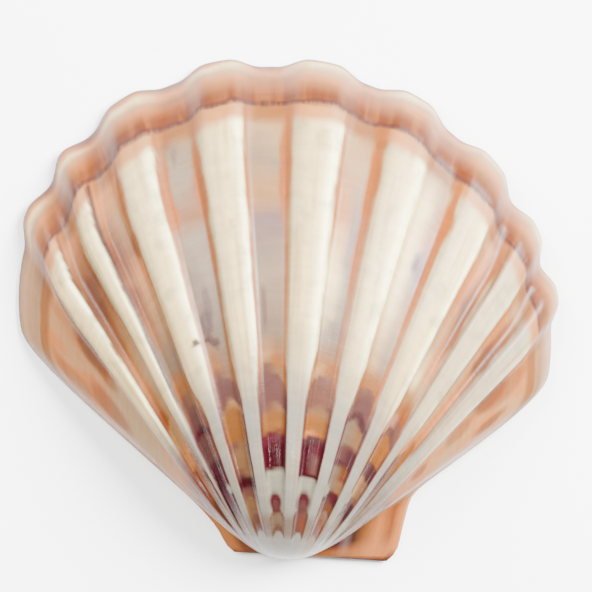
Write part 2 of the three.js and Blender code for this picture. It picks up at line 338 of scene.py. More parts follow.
class ShellMesh:
    """Vertices, faces and per-vertex shell coordinates of the one closed mesh."""

    def __init__(self):
        self.points = []
        self.growth = []
        self.beta = []
        self.inside = []
        self.faces = []
        self.count = 0

    def add(self, points, growth, beta, inside):
        number = len(points)
        self.points.append(np.asarray(points))
        self.growth.append(np.broadcast_to(growth, number))
        self.beta.append(np.broadcast_to(beta, number))
        self.inside.append(np.full(number, float(inside)))
        first = self.count
        self.count += number
        return np.arange(first, self.count)

    def strip(self, lower, upper, closed):
        """Quads between two rows of the same length."""
        a, b = lower, upper
        if closed:
            a, b = np.append(a, a[0]), np.append(b, b[0])
        quads = np.stack([a[:-1], b[:-1], b[1:], a[1:]], axis=1)
        self.faces.extend(quads.tolist())

    def fan(self, centre, ring, closed):
        """Triangles from one vertex to a row."""
        a = np.append(ring, ring[0]) if closed else ring
        tris = np.stack([np.full(len(a) - 1, centre), a[:-1], a[1:]], axis=1)
        self.faces.extend(tris.tolist())

    def arrays(self):
        parts = (self.points, self.growth, self.beta, self.inside)
        return tuple(np.concatenate(part) for part in parts)


def add_outside(mesh, beta):
    """Adds the outer surface. Gives its edge loop and how far each place of it arches up."""
    growth = row_growth(beta)
    grid_beta = np.broadcast_to(beta, growth.shape)
    points = outside(growth, grid_beta)
    rise = RIM_ARCH * (points[..., 2] - smooth_outside(growth, grid_beta)[..., 2])
    tip_point = smooth_outside(np.array([0.0]), np.array([math.pi / 2]))
    tip = mesh.add(tip_point, 0.0, math.pi / 2, 0)[0]
    rows = [mesh.add(points[r], growth[r], grid_beta[r], 0) for r in range(len(growth))]
    mesh.fan(tip, rows[0], False)
    for lower, upper in zip(rows, rows[1:]):
        mesh.strip(lower, upper, False)
    ids = np.concatenate([
        rows[-1],
        [row[-1] for row in rows[-2::-1]],
        [tip],
        [row[0] for row in rows[:-1]],
    ])
    rises = np.zeros(len(ids))
    rises[:len(beta)] = rise[-1]
    return ids, rises


def thinned(count_rim, count_all):
    """Loop places that the underside keeps. Along the hinge line the rows crowd together."""
    rim = np.arange(0, count_rim, RIM_THINNING)
    hinge = np.arange(count_rim, count_all)
    return np.concatenate([rim, hinge[HINGE_THINNING // 2::HINGE_THINNING]])


def stitch(mesh, edge, kept, foot):
    """Joins the fine edge loop to the foot loop under it, which has only the kept places."""
    count = len(edge)
    for i, place in enumerate(kept):
        after = kept[(i + 1) % len(kept)]
        span = (after - place) % count
        top = [int(edge[(place + step) % count]) for step in range(span + 1)]
        bottom = [int(foot[(i + 1) % len(foot)]), int(foot[i])]
        mesh.faces.append(top[::-1] + bottom[::-1])


def add_underside(mesh, edge, rises, points):
    kept = thinned(COLUMNS, len(edge))
    edge_plan = points[edge][kept][:, :2]
    rise = rises[kept]
    inward = CAVITY_CENTRE - edge_plan
    inward /= np.linalg.norm(inward, axis=1)[:, None]
    foot_plan = edge_plan + inward * RIM_BEVEL
    reach = cavity_reach(foot_plan)
    foot_reach = np.linalg.norm(foot_plan - CAVITY_CENTRE, axis=1)

    def ring(distance, weight):
        plan = CAVITY_CENTRE - inward * distance[:, None]
        roof, growth, beta = cavity_roof(plan[:, 0], plan[:, 1])
        height = blend(rise, roof, weight)
        place = np.column_stack([plan, height])
        return mesh.add(place, growth, beta, 1)

    rings = [ring(foot_reach, 0.0)]
    for share in np.linspace(1 / FLAT_RINGS, 1, FLAT_RINGS):
        rings.append(ring(blend(foot_reach, reach, share), 0.0))
    for step in np.linspace(1 / WALL_RINGS, 1, WALL_RINGS):
        drop = step * CAVITY_WALL_RUN
        rings.append(ring(reach - drop, smoothstep(0, 1, step)))
    for share in np.linspace(1, 0, ROOF_RINGS + 2)[1:-1]:
        rings.append(ring((reach - CAVITY_WALL_RUN) * share, 1.0))
    stitch(mesh, edge, kept, rings[0])
    for outer, inner in zip(rings, rings[1:]):
        mesh.strip(outer, inner, True)
    centre = CAVITY_CENTRE[None, :]
    roof, growth, beta = cavity_roof(centre[:, 0], centre[:, 1])
    middle = mesh.add(np.column_stack([centre, roof]), growth, beta, 1)[0]
    mesh.fan(middle, rings[-1][::-1], True)


def laid_on_frame(points):
    """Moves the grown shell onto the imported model's box."""
    low, high = points.min(axis=0), points.max(axis=0)
    box_low, box_high = np.array(cad_low), np.array(cad_high)
    return box_low + (points - low) * (box_high - box_low) / (high - low)


def float_attribute(mesh_data, name, values):
    attribute = mesh_data.attributes.new(name, "FLOAT", "POINT")
    attribute.data.foreach_set("value", np.asarray(values, dtype=np.float32))


def build_shell():
    shell = ShellMesh()
    beta = column_angles()
    edge, rises = add_outside(shell, beta)
    add_underside(shell, edge, rises, np.concatenate(shell.points))
    points, growth, angle, inside = shell.arrays()
    placed = laid_on_frame(points)
    data = bpy.data.meshes.new("scallop_valve")
    data.from_pydata(placed.tolist(), [], shell.faces)
    around = rib_angle(growth, angle)
    crest = rib_profile(growth, angle)
    colour, past_line = pigment(points, growth, around, crest, inside)
    rimward = (growth - 1) / (margin_ratio(angle) - 1) * (1 - inside)
    float_attribute(data, "growth", growth)
    float_attribute(data, "around", around)
    float_attribute(data, "inside", inside)
    float_attribute(data, "rimward", rimward)
    float_attribute(data, "past_line", past_line)
    colours = data.attributes.new("pigment", "FLOAT_COLOR", "POINT")
    opaque = np.column_stack([colour, np.ones(len(colour))])
    colours.data.foreach_set("color", opaque.astype(np.float32).ravel())
    data.shade_smooth()
    data.update()
    piece = bpy.data.objects.new("scallop_valve", data)
    bpy.context.collection.objects.link(piece)
    return piece


# Palette. The default view transform dulls strong light colours, so a surface colour is darker
# and stronger than it looks. These constants were fitted to the transform under this studio.
LUMINANCE = np.array([0.2126, 0.7152, 0.0722])
LEVEL_GAIN = 0.09
LEVEL_POWER = 1.02
SPREAD_GAIN = 3.45
SPREAD_POWER = 1.5
DARKEST = 0.0005
LIGHTEST = 0.85


def linear_light(coded):
    """The sRGB standard's decoding, for values from 0 to 1."""
    return np.where(coded <= 0.04045, coded / 12.92, ((coded + 0.055) / 1.055) ** 2.4)


def seen(red, green, blue):
    """Surface colour that this studio shows as about the given 8-bit colour."""
    linear = linear_light(np.array([red, green, blue]) / 255)
    light = float(linear @ LUMINANCE)
    level = LEVEL_GAIN * light ** LEVEL_POWER / (1 - light)
    spread = 1 + SPREAD_GAIN * light ** SPREAD_POWER
    deep = level * np.exp(spread * (np.log(linear) - math.log(light)))
    return np.clip(deep, DARKEST, LIGHTEST)


# The ivory colour is only a painted highlight on the ribs' right sides. The beige is a mottle tone
# and also painted shade on the ribs' left sides.
PAINTED_HIGHLIGHT = seen(248, 244, 228)
CREAM = seen(240, 230, 206)
BEIGE_MOTTLE_AND_SHADE = seen(218, 209, 188)
CHALK = seen(210, 207, 200)
BONE = seen(206, 202, 190)
STONE = seen(204, 188, 170)
SHADE = seen(188, 168, 148)
WARM = seen(222, 202, 176)
SAND = seen(218, 188, 150)
TAN = seen(194, 160, 128)
PEACH = seen(232, 188, 142)
PINK = seen(224, 188, 166)
ROSE = seen(180, 134, 116)
LILAC = seen(192, 170, 166)
APRICOT = seen(208, 156, 98)
OCHRE = seen(200, 152, 100)
ORANGE = seen(208, 138, 74)
RUST = seen(190, 116, 62)
BROWN = seen(182, 122, 84)
TERRACOTTA = seen(196, 128, 102)
UMBER = seen(138, 82, 64)
MAUVE = seen(168, 122, 114)
DUSK = seen(144, 90, 92)
WINE = seen(156, 60, 76)
MAROON = seen(134, 22, 46)
AMBER = seen(222, 158, 74)

# Furrow colours by growth, on the side nearer the small ear and on the other side, after the
# furrow's middle and half-width in degrees and the same two for its young part. Each band runs
# from its growth to the next one's.
FURROWS = (
    (128.9, 2.15, 128.2, 2.9,
     ((0.0, ROSE), (0.2, ROSE), (0.26, BROWN), (0.3, ORANGE), (0.385, PEACH), (0.43, SAND),
      (0.48, ORANGE), (0.55, PEACH), (0.68, APRICOT), (0.76, RUST), (0.9, APRICOT), (0.94, PEACH)),
     ((0.0, ROSE), (0.2, TAN), (0.26, BROWN), (0.3, ORANGE), (0.37, APRICOT), (0.41, SAND),
      (0.5, SAND), (0.56, WARM), (0.68, SAND), (0.71, APRICOT), (0.84, RUST), (0.9, APRICOT),
      (0.94, PEACH))),
    (120.7, 2.6, 119.4, 3.6,
     ((0.0, SHADE), (0.185, ROSE), (0.225, DUSK), (0.245, WINE), (0.3, MAROON), (0.335, WINE),
      (0.36, MAUVE), (0.415, WINE), (0.428, MAUVE), (0.455, ROSE), (0.5, APRICOT), (0.545, SHADE),
      (0.62, APRICOT), (0.72, RUST), (0.76, APRICOT), (0.8, RUST), (0.86, APRICOT), (0.93, PEACH)),
     ((0.0, SHADE), (0.185, ROSE), (0.235, WINE), (0.34, DUSK), (0.365, ROSE), (0.415, DUSK),
      (0.428, ROSE), (0.455, TAN), (0.505, APRICOT), (0.54, SHADE), (0.62, SAND), (0.76, PEACH),
      (0.79, APRICOT), (0.85, SAND), (0.95, PEACH))),
    (108.9, 3.0, 108.4, 3.8,
     ((0.0, CHALK), (0.175, ROSE), (0.19, BROWN), (0.205, ROSE), (0.215, TAN), (0.255, ROSE),
      (0.275, MAUVE), (0.285, MAROON), (0.305, DUSK), (0.315, ROSE), (0.33, TAN), (0.365, ROSE),
      (0.38, OCHRE), (0.43, TAN), (0.436, MAUVE), (0.485, ROSE), (0.505, APRICOT), (0.535, SHADE),
      (0.66, SHADE), (0.75, STONE), (0.79, APRICOT), (0.84, STONE), (0.92, STONE), (0.95, TAN)),
     ((0.0, CHALK), (0.175, ROSE), (0.19, BROWN), (0.205, ROSE), (0.215, TAN), (0.25, ROSE),
      (0.275, MAUVE), (0.285, MAROON), (0.3, UMBER), (0.312, TAN), (0.378, OCHRE), (0.43, SAND),
      (0.436, MAUVE), (0.48, TAN), (0.53, SHADE), (0.66, STONE), (0.75, STONE), (0.79, APRICOT),
      (0.84, STONE), (0.92, STONE), (0.95, SAND))),
    (96.3, 3.0, 96.3, 4.0,
     ((0.0, CHALK), (0.175, ROSE), (0.19, SHADE), (0.218, ROSE), (0.228, BONE), (0.32, MAROON),
      (0.362, WINE), (0.385, OCHRE), (0.42, ROSE), (0.428, MAUVE), (0.475, ROSE), (0.5, SAND),
      (0.53, SHADE), (0.6, STONE), (0.74, LILAC), (0.8, SAND), (0.84, STONE), (0.95, WARM)),
     ((0.0, CHALK), (0.175, ROSE), (0.19, SHADE), (0.218, ROSE), (0.228, BONE), (0.32, MAROON),
      (0.368, WINE), (0.382, BROWN), (0.39, OCHRE), (0.42, TAN), (0.428, MAUVE), (0.465, TAN),
      (0.49, APRICOT), (0.52, SHADE), (0.6, STONE), (0.75, LILAC), (0.8, SAND), (0.84, STONE),
      (0.92, WARM), (0.96, SAND))),
    (83.2, 2.8, 83.4, 4.0,
     ((0.0, CHALK), (0.172, ROSE), (0.22, MAUVE), (0.235, BONE), (0.31, MAROON), (0.37, DUSK),
      (0.385, PEACH), (0.392, APRICOT), (0.42, TAN), (0.428, ROSE), (0.475, SAND), (0.5, APRICOT),
      (0.53, STONE), (0.6, CREAM), (0.75, PEACH), (0.84, WARM), (0.95, WARM)),
     ((0.0, CHALK), (0.172, ROSE), (0.186, TERRACOTTA), (0.21, ROSE), (0.235, BONE),
      (0.308, MAROON), (0.318, MAUVE), (0.352, WINE), (0.375, DUSK), (0.385, APRICOT),
      (0.392, OCHRE), (0.42, TAN), (0.43, ROSE), (0.48, APRICOT), (0.52, SHADE), (0.62, STONE),
      (0.7, LILAC), (0.8, STONE), (0.84, WARM), (0.95, SAND))),
    (71.0, 2.9, 71.3, 3.9,
     ((0.0, STONE), (0.172, ROSE), (0.216, TAN), (0.232, ROSE), (0.25, MAUVE), (0.272, DUSK),
      (0.295, SHADE), (0.35, DUSK), (0.36, MAUVE), (0.39, SHADE), (0.43, DUSK), (0.44, MAUVE),
      (0.47, ROSE), (0.495, APRICOT), (0.53, SAND), (0.56, CREAM), (0.84, CREAM), (0.95, WARM)),
     ((0.0, STONE), (0.17, ROSE), (0.184, TERRACOTTA), (0.216, TAN), (0.228, LILAC),
      (0.235, BROWN), (0.262, DUSK), (0.272, WINE), (0.295, TAN), (0.325, BROWN), (0.352, DUSK),
      (0.39, TAN), (0.425, DUSK), (0.44, MAUVE), (0.48, ROSE), (0.495, APRICOT), (0.545, STONE),
      (0.6, WARM), (0.74, LILAC), (0.8, PINK), (0.86, SAND), (0.92, WARM))),
    (59.6, 2.3, 60.0, 3.3,
     ((0.0, CHALK), (0.17, SHADE), (0.234, LILAC), (0.25, DUSK), (0.262, SHADE), (0.278, MAUVE),
      (0.295, ROSE), (0.31, SAND), (0.36, MAUVE), (0.392, APRICOT), (0.44, ROSE), (0.455, PINK),
      (0.5, APRICOT), (0.54, SAND), (0.57, CREAM), (0.62, WARM), (0.74, PEACH), (0.84, PEACH),
      (0.92, WARM)),
     ((0.0, CHALK), (0.17, SHADE), (0.234, ROSE), (0.245, DUSK), (0.295, ROSE), (0.31, TAN),
      (0.355, DUSK), (0.392, APRICOT), (0.44, MAUVE), (0.455, ROSE), (0.49, ORANGE),
      (0.52, APRICOT), (0.56, WARM), (0.61, PEACH), (0.69, APRICOT), (0.79, ORANGE), (0.84, PEACH),
      (0.95, PEACH))),
    (50.4, 2.1, 51.6, 2.6,
     ((0.0, STONE), (0.25, MAUVE), (0.29, DUSK), (0.4, ROSE), (0.45, PEACH), (0.52, WARM),
      (0.66, WARM), (0.78, PEACH), (0.86, PEACH), (0.93, WARM)),
     ((0.0, STONE), (0.25, TAN), (0.36, TAN), (0.42, APRICOT), (0.5, PEACH), (0.6, PEACH),
      (0.72, APRICOT), (0.8, RUST), (0.84, APRICOT), (0.9, WARM))),
)

# Thin lines along the rib borders: angle, half-width in degrees, strength, colour.
BORDERS = (
    (131.0, 0.22, 0.95, UMBER),
    (126.6, 0.3, 0.35, ORANGE),
    (123.1, 0.22, 0.95, UMBER),
    (118.0, 0.32, 0.8, AMBER),
    (111.9, 0.25, 0.9, AMBER),
    (105.9, 0.3, 0.9, AMBER),
    (99.3, 0.3, 0.95, AMBER),
    (93.2, 0.36, 0.95, AMBER),
    (86.1, 0.25, 0.8, AMBER),
    (80.5, 0.36, 1.0, AMBER),
    (74.1, 0.22, 0.7, PEACH),
    (68.2, 0.36, 0.95, AMBER),
    (61.9, 0.25, 0.5, PINK),
    (57.2, 0.28, 1.0, BROWN),
    (52.5, 0.25, 0.4, PINK),
    (48.2, 0.3, 1.0, BROWN),
    (43.6, 0.3, 0.6, PEACH),
)

# Single marks: colour, growth, angle, half-length in growth, half-width in degrees, strength.
# They are painted in this order.
MARKS = (
    # Orange and rust flecks beside the ribs.
    (AMBER, 0.825, 111.2, 0.036, 1.2, 0.95),
    (AMBER, 0.89, 111.0, 0.08, 0.8, 0.8),
    (AMBER, 0.84, 106.3, 0.055, 1.3, 0.95),
    (AMBER, 0.89, 106.1, 0.07, 1.0, 0.9),
    (AMBER, 0.73, 106.1, 0.07, 0.7, 0.7),
    (AMBER, 0.87, 93.6, 0.13, 1.0, 0.9),
    (AMBER, 0.87, 80.8, 0.11, 1.1, 0.95),
    (RUST, 0.97, 80.5, 0.03, 0.9, 0.8),
    (AMBER, 0.72, 80.9, 0.08, 0.9, 0.8),
    (AMBER, 0.885, 68.4, 0.05, 1.3, 0.95),
    (ORANGE, 0.8, 68.4, 0.07, 0.7, 0.8),
    (AMBER, 0.69, 68.5, 0.06, 0.9, 0.8),
    (AMBER, 0.84, 85.7, 0.13, 0.8, 0.6),
    (RUST, 0.8, 129.6, 0.13, 1.3, 0.6),
    (UMBER, 0.83, 129.2, 0.07, 1.5, 0.4),
    (RUST, 0.75, 122.3, 0.035, 0.8, 0.8),
    (RUST, 0.83, 121.9, 0.06, 1.0, 0.5),
    (RUST, 0.82, 118.3, 0.03, 1.0, 0.7),
    (AMBER, 0.92, 118.0, 0.07, 0.8, 0.9),
    (BROWN, 0.8, 58.2, 0.06, 1.3, 0.7),
    (RUST, 0.73, 57.9, 0.07, 0.9, 0.6),
    (ORANGE, 0.9, 58.2, 0.09, 1.0, 0.8),
    (BROWN, 0.79, 49.4, 0.06, 1.4, 0.8),
    (ORANGE, 0.87, 49.2, 0.06, 1.2, 0.6),
    # Violet and grey spots.
    (LILAC, 0.775, 70.4, 0.028, 1.1, 0.9),
    (MAUVE, 0.775, 70.4, 0.016, 0.6, 0.6),
    (STONE, 0.95, 109.4, 0.04, 0.9, 0.4),
    (SHADE, 0.945, 109.4, 0.025, 0.6, 0.9),
    # The nick and the smudges over it and beside it.
    (DUSK, 0.605, 109.9, 0.034, 1.5, 0.75),
    (DUSK, 0.635, 109.0, 0.036, 1.0, 0.6),
    (UMBER, 0.583, 112.9, 0.008, 1.5, 0.95),
    (UMBER, 0.576, 111.0, 0.01, 1.6, 1.0),
    (UMBER, 0.565, 109.2, 0.008, 1.5, 0.95),
    (MAUVE, 0.61, 97.6, 0.05, 0.6, 0.6),
    (SHADE, 0.585, 82.8, 0.02, 1.6, 0.6),
    # Two ovals near the beak, and pale gaps above them.
    (WINE, 0.2575, 96.8, 0.024, 3.2, 1.0),
    (MAUVE, 0.252, 96.8, 0.012, 1.8, 0.7),
    (WINE, 0.261, 83.6, 0.026, 3.9, 1.0),
    (MAUVE, 0.249, 83.6, 0.02, 2.8, 0.8),
    (CHALK, 0.302, 117.2, 0.01, 2.2, 0.9),
    (BONE, 0.3, 75.0, 0.014, 2.6, 0.85),
    (BONE, 0.305, 63.6, 0.014, 2.4, 0.85),
    # Left lobe.
    (BROWN, 0.8, 136.4, 0.09, 2.2, 0.85),
    (OCHRE, 0.91, 135.3, 0.07, 1.3, 0.85),
    (ORANGE, 0.73, 137.2, 0.05, 1.6, 0.6),
    (ORANGE, 0.72, 142.3, 0.1, 2.6, 0.7),
    (ORANGE, 0.88, 144.0, 0.1, 1.8, 0.5),
    (WINE, 0.31, 135.8, 0.035, 3.0, 0.6),
    (ROSE, 0.36, 135.6, 0.04, 3.0, 0.6),
    # Right lobe.
    (RUST, 0.8, 42.0, 0.08, 2.0, 0.75),
    (ORANGE, 0.86, 41.0, 0.1, 2.2, 0.6),
    (BROWN, 0.78, 43.0, 0.09, 1.0, 0.6),
    (ORANGE, 0.67, 41.2, 0.06, 2.0, 0.6),
    (RUST, 0.8, 37.2, 0.07, 1.2, 0.7),
    (PEACH, 0.6, 40.3, 0.03, 1.3, 0.8),
    (ORANGE, 0.52, 40.0, 0.035, 1.6, 0.7),
    (PEACH, 0.44, 39.6, 0.05, 2.0, 0.8),
    (LILAC, 0.36, 42.0, 0.06, 3.0, 0.6),
    # Dark borders by the young ribs, and the beak.
    (UMBER, 0.31, 124.2, 0.06, 0.5, 0.9),
    (UMBER, 0.355, 124.9, 0.02, 0.8, 0.7),
    (UMBER, 0.345, 104.9, 0.05, 0.5, 0.85),
    (MAROON, 0.35, 80.0, 0.05, 0.6, 0.9),
    (STONE, 0.14, 72.0, 0.012, 1.4, 0.7),
)

# Bands of the lobes outside the last ribs and of the ears, and of the cavity, by growth.
LEFT_LOBE = (
    (0.0, TERRACOTTA), (0.22, BROWN), (0.27, MAUVE), (0.32, TERRACOTTA), (0.4, PEACH),
    (0.46, WARM), (0.66, WARM), (0.72, PEACH), (0.78, PEACH), (0.86, PEACH), (0.94, PEACH))
RIGHT_LOBE = (
    (0.0, PINK), (0.24, MAUVE), (0.36, ROSE), (0.44, PINK), (0.5, PEACH), (0.58, WARM),
    (0.64, PEACH), (0.8, PEACH), (0.9, PEACH), (0.96, WARM))
LARGE_EAR = (
    (0.0, MAROON), (0.4, WINE), (0.5, LILAC), (0.55, UMBER), (0.62, APRICOT), (0.74, PEACH),
    (0.86, ORANGE), (0.97, PEACH))
SMALL_EAR = ((0.0, BROWN), (0.3, RUST), (0.7, ORANGE), (0.95, PEACH))
CAVITY = (
    (0.0, CREAM), (0.35, PINK), (0.5, CREAM), (0.8, CREAM), (0.9, PINK), (0.96, ROSE),
    (0.99, ORANGE))

# Margin colours by growth past the main growth line.
MARGIN_FURROW = (
    (0.0, RUST), (0.02, RUST), (0.035, ORANGE), (0.055, APRICOT), (0.07, PEACH), (0.085, RUST))
MARGIN_RIB = (
    (0.0, RUST), (0.016, RUST), (0.032, APRICOT), (0.048, PEACH), (0.06, WARM), (0.075, CREAM),
    (0.085, PEACH))

BAND_JOIN = 0.0025  # half of the growth over which one crisp band turns into the next
SOFT_FROM = 0.5  # colour bands younger than this growth have crisp joins
SOFT_FADE = 0.004
ARCH_AT = (0.2, 0.27, 0.32, 0.43, 0.48, 0.56)  # growths at which the arch of the bands is set
ARCH = (0.02, 0.02, 0.0, 0.01, 0.032, 0.0)  # how far bands arch over a furrow's middle there
LINE_TILT = 0.0004  # growth per degree by which the main growth line runs off true
LINE_PIVOT = 95  # degrees round the fan at which it is true
LINE_DRIFT = 0.014  # growth by which the line wanders with the drift and with the warp
LINE_WARP = 0.007

# Noises of the painting. The first three lie on the plan, and the others follow the shell.
NOISE_TABLE = 256
NOISE_LAYERS = ((1, 1), (2.1, 0.5), (4.3, 0.25))  # fineness and strength
DRIFT_SIZE = 5  # millimetres
WARP_SIZE = 2.6
MOTTLE_SIZE = 2.2
STREAK_CELLS = (1.3, 6)  # per degree round the fan and per unit of growth
CLOUD_CELLS = (0.625, 14)
OLD_FADE = (0.42, 0.6)  # growths over which the colours take the rougher edges of the old part
GROWTH_WARP = (0.008, 0.024)  # growth, on the young and on the old part
ANGLE_DRIFT = (0.5, 0.8)  # degrees, on the young and on the old part


def value_noise(x, y, seed):
    """Smooth random values from 0 to 1 over the plane, one cell per unit."""
    table = np.random.default_rng(seed).random((NOISE_TABLE, NOISE_TABLE))
    column, row = np.floor(x).astype(int), np.floor(y).astype(int)
    u, v = x - column, y - row
    u, v = u * u * (3 - 2 * u), v * v * (3 - 2 * v)

    def corner(dx, dy):
        return table[(column + dx) % NOISE_TABLE, (row + dy) % NOISE_TABLE]

    near = blend(corner(0, 0), corner(1, 0), u)
    far = blend(corner(0, 1), corner(1, 1), u)
    return blend(near, far, v)


def layered_noise(x, y, seed):
    """Ever finer and weaker noise, together from 0 to 1."""
    total = 0
    for layer, (fineness, strength) in enumerate(NOISE_LAYERS):
        total = total + strength * value_noise(x * fineness, y * fineness, seed + layer)
    return total / sum(strength for _, strength in NOISE_LAYERS)


def mixed(amount, first, second):
    """Blends colours by one amount for each vertex."""
    return first + (second - first) * np.asarray(amount)[..., None]


def along(value, stops):
    """Colours along a value, straight from stop to stop."""
    places = [place for place, _ in stops]
    colours = np.array([colour for _, colour in stops])
    return np.stack([np.interp(value, places, colours[:, c]) for c in range(3)], axis=-1)


def crisp_bands(value, bands):
    """Flat bands with crisp joins."""
    stops = [(0.0, bands[0][1])]
    for (_, before), (start, colour) in zip(bands, bands[1:]):
        stops += [(start - BAND_JOIN, before), (start + BAND_JOIN, colour)]
    return along(value, stops)


def soft_bands(value, bands):
    """Bands that run into each other."""
    ends = [start for start, _ in bands[1:]] + [1.0]
    middles = [(start + end) / 2 for (start, _), end in zip(bands, ends)]
    return along(value, [(middle, colour) for middle, (_, colour) in zip(middles, bands)])


def furrow_bands(value, bands):
    young = [band for band in bands if band[0] < SOFT_FROM]
    old = [young[-1]] + [band for band in bands if band[0] >= SOFT_FROM]
    share = smoothstep(SOFT_FROM - SOFT_FADE, SOFT_FROM, value)
    return mixed(share, crisp_bands(value, young), soft_bands(value, old))


# The painting. In the functions below, a smoothstep's two numbers are the growths, degrees or
# noise values between which a colour comes in, and the number before it is how strongly.


def furrow_colours(colour, growth, around):
    """Paints the furrows. Young ones have an outline: orange, and wine nearer the beak."""
    young = smoothstep(0.56, 0.44, growth)
    arch = np.interp(growth, ARCH_AT, ARCH)
    for middle, half, young_middle, young_half, small_ear_side, large_ear_side in FURROWS:
        middle_here = blend(middle, young_middle, young)
        across = (around - middle_here) / blend(half, young_half, young)
        level = growth - arch * (1 - across ** 2)
        near = furrow_bands(level, small_ear_side)
        far = furrow_bands(level, large_ear_side)
        both = mixed(smoothstep(-0.45, 0.45, across), far, near)
        off_middle = np.abs(across)
        orange_edge = smoothstep(0.72, 0.86, off_middle) * smoothstep(0.42, 0.5, level)
        both = mixed(0.7 * orange_edge * young, both, ORANGE)
        wine_edge = smoothstep(0.74, 0.9, off_middle) * smoothstep(0.46, 0.42, level)
        wine_edge *= smoothstep(0.295, 0.33, level)
        both = mixed(0.8 * wine_edge, both, WINE)
        colour = mixed(smoothstep(1.08, 0.94, off_middle), colour, both)
    return colour


def single_marks(colour, growth, around):
    for paint, middle, angle, half_growth, half_angle, strength in MARKS:
        away = np.hypot((growth - middle) / half_growth, (around - angle) / half_angle)
        colour = mixed(strength * smoothstep(1.15, 0.55, away), colour, paint)
    return colour


def rib_colour(growth, around, mottle, streaks):
    """Base colour: cream ribs with painted shade on the left side and a painted highlight on the
    right, stained near the beak.
    """
    colour = np.broadcast_to(CREAM, growth.shape + (3,))
    for middle, width in RIBS:
        side = (around - middle) / (width / 2)
        near = smoothstep(1.6, 1.2, np.abs(side))
        # Painted shade: beige on each rib's left side, away from the key light.
        colour = mixed(0.75 * near * smoothstep(0.0, 0.9, side), colour, BEIGE_MOTTLE_AND_SHADE)
        # Painted highlight: ivory on each rib's right side, towards the key light.
        colour = mixed(0.8 * near * smoothstep(-0.2, -0.9, side), colour, PAINTED_HIGHLIGHT)
    colour = mixed(smoothstep(0.6, 0.42, growth), colour, CHALK)
    colour = mixed(0.6 * smoothstep(60, 52, around), colour, CHALK)
    colour = mixed(0.45 * smoothstep(0.5, 0.8, mottle), colour, BEIGE_MOTTLE_AND_SHADE)
    colour = mixed(0.4 * smoothstep(0.5, 0.8, streaks), colour, SAND)
    stain = smoothstep(0.17, 0.19, growth) * smoothstep(0.245, 0.22, growth)
    colour = mixed(0.55 * stain, colour, ROSE)
    small_ear_side = smoothstep(121, 128, around) * smoothstep(0.5, 0.36, growth)
    colour = mixed(small_ear_side, colour, TERRACOTTA)
    large_ear_side = smoothstep(52, 44, around) * smoothstep(0.46, 0.34, growth)
    return mixed(0.8 * large_ear_side, colour, ROSE)


def lobe_colours(colour, growth, around, cloud):
    """Paints the lobes outside the last ribs, paler in clouds and towards the flanks."""
    lobes = smoothstep(134.4, 136, around) + smoothstep(44.3, 43, around)
    colour = mixed(smoothstep(134.4, 135.4, around), colour, soft_bands(growth, LEFT_LOBE))
    colour = mixed(smoothstep(44.3, 43.5, around), colour, soft_bands(growth, RIGHT_LOBE))
    edge = np.maximum(smoothstep(143, 149, around), smoothstep(37, 32, around))
    edge = np.maximum(edge, lobes * smoothstep(0.38, 0.66, cloud))
    return mixed(0.6 * edge, colour, WARM)


def ear_colours(colour, growth, around):
    large = soft_bands(growth, LARGE_EAR)
    large = mixed(0.7 * smoothstep(12, 5, around), large, PEACH)
    large = mixed(0.7 * smoothstep(2.2, 0.6, around), large, WINE)
    colour = mixed(smoothstep(29, 26, around), colour, large)
    return mixed(smoothstep(156.5, 159, around), colour, soft_bands(growth, SMALL_EAR))


def margin_colours(colour, past, around, crest, streaks):
    """Paints the margin past the main growth line, and a warm band just before the line."""
    before = mixed(crest, APRICOT, PEACH)
    colour = mixed(0.9 * smoothstep(-0.05, -0.024, past), colour, before)
    band = mixed(crest, along(past, MARGIN_FURROW), along(past, MARGIN_RIB))
    band = mixed(0.25 * smoothstep(0.45, 0.8, streaks), band, PEACH)
    side = np.maximum(smoothstep(133, 140, around), smoothstep(47, 40, around))
    band = mixed(0.65 * side, band, WARM)
    return mixed(smoothstep(-0.003, 0.002, past), colour, band)


def inside_colours(growth, mottle):
    colour = soft_bands(growth, CAVITY)
    cloudy = smoothstep(0.4, 0.7, mottle) * smoothstep(0.92, 0.8, growth)
    return mixed(0.3 * cloudy, colour, CHALK)


def pigment(points, growth, around, crest, inside):
    """Colour of every vertex, and its growth past the wandering main growth line."""
    x, y = points[:, 0] / MM, points[:, 1] / MM
    drift = layered_noise(x / DRIFT_SIZE, y / DRIFT_SIZE, 3) - 0.5
    warp = layered_noise(x / WARP_SIZE + 40, y / WARP_SIZE, 11) - 0.5
    mottle = layered_noise(x / MOTTLE_SIZE, y / MOTTLE_SIZE + 70, 19)
    streaks = layered_noise(around * STREAK_CELLS[0], growth * STREAK_CELLS[1], 29)
    cloud = layered_noise(around * CLOUD_CELLS[0], growth * CLOUD_CELLS[1], 41)
    old = smoothstep(*OLD_FADE, growth)
    warped_growth = growth + blend(*GROWTH_WARP, old) * warp
    warped_around = around + blend(*ANGLE_DRIFT, old) * drift
    true_line = 1 + LINE_TILT * (around - LINE_PIVOT)
    past_line = growth - true_line - (LINE_DRIFT * drift + LINE_WARP * warp)
    colour = rib_colour(warped_growth, warped_around, mottle, streaks)
    colour = lobe_colours(colour, warped_growth, warped_around, cloud)
    colour = furrow_colours(colour, warped_growth, warped_around)
    colour = single_marks(colour, warped_growth, warped_around)
    colour = margin_colours(colour, past_line, around, crest, streaks)
    colour = ear_colours(colour, warped_growth, warped_around)
    return mixed(inside, colour, inside_colours(growth, mottle)), past_line


